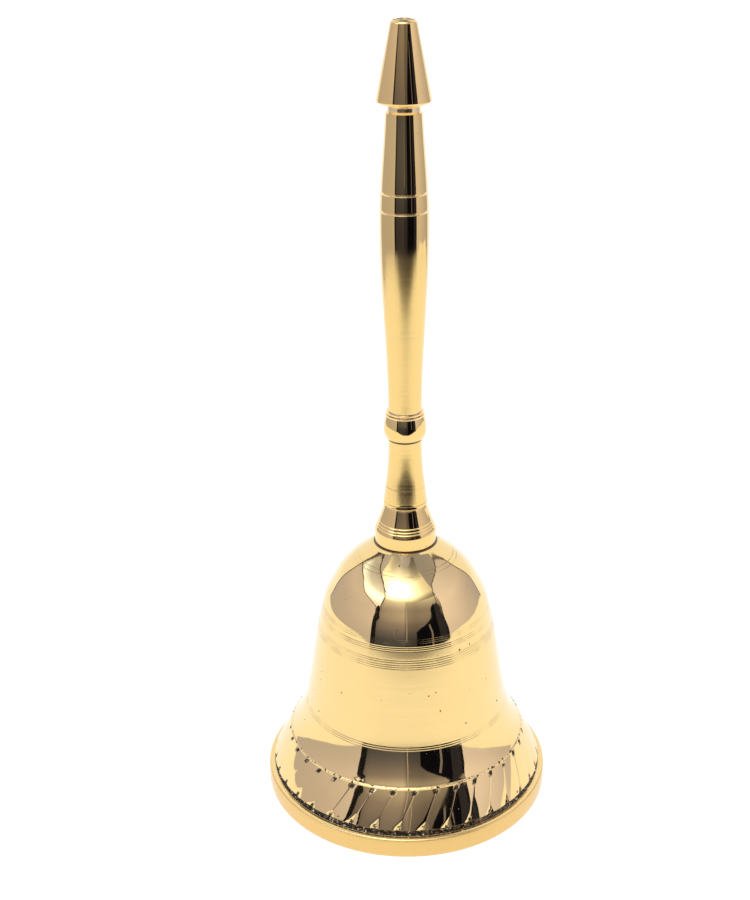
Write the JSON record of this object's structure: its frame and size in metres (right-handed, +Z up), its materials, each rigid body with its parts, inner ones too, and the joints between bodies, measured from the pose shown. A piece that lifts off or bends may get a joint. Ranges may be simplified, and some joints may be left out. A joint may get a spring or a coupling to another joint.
{
  "type": "hand bell",
  "caption": "Turned brass hand bell: flared cup with a leaning gadroon border, slender turned handle with ring and cone finial, and a ball clapper hung on a wire ring inside.",
  "frame": {"origin": "middle of the mouth, level with the flat under-edge of the lip that the bell stands on", "axes": "+Z up along the axis of the bell towards the finial; the clapper swings in the XZ plane, and the picture is taken from the -Y side"},
  "size_m": [0.07, 0.07, 0.1862],
  "materials": {
    "cup_brass": "polished crown and flare, fine-turned satin skirt and bead",
    "handle_brass": "polished foot, upper grip and finial, fine-turned satin stem and lower grip",
    "clapper_brass": "turned, dull",
    "steel": "bright zinc-plated wire and fixings"
  },
  "bodies": {
    "bell": {"bell_cup": "cup_brass", "handle_foot": "handle_brass", "handle_grip": "handle_brass", "finial": "handle_brass", "eye_rod": "steel", "crown_washer": "steel", "crown_nut": "steel"},
    "hanger": {"hanger_ring": "steel"},
    "clapper": {"clapper_rod": "steel", "clapper_ball": "clapper_brass"}
  },
  "joints": [
    {"name": "hanger_twist", "type": "hinge", "parent": "bell", "child": "hanger", "pos_m": [0, 0, 0.04605], "axis": [0, 0, 1], "range_deg": [-30, 30]},
    {"name": "clapper_swing", "type": "hinge", "parent": "hanger", "child": "clapper", "pos_m": [0, 0, 0.04195], "axis": [0, 1, 0], "range_deg": [-34.8, 34.8]}
  ]
}
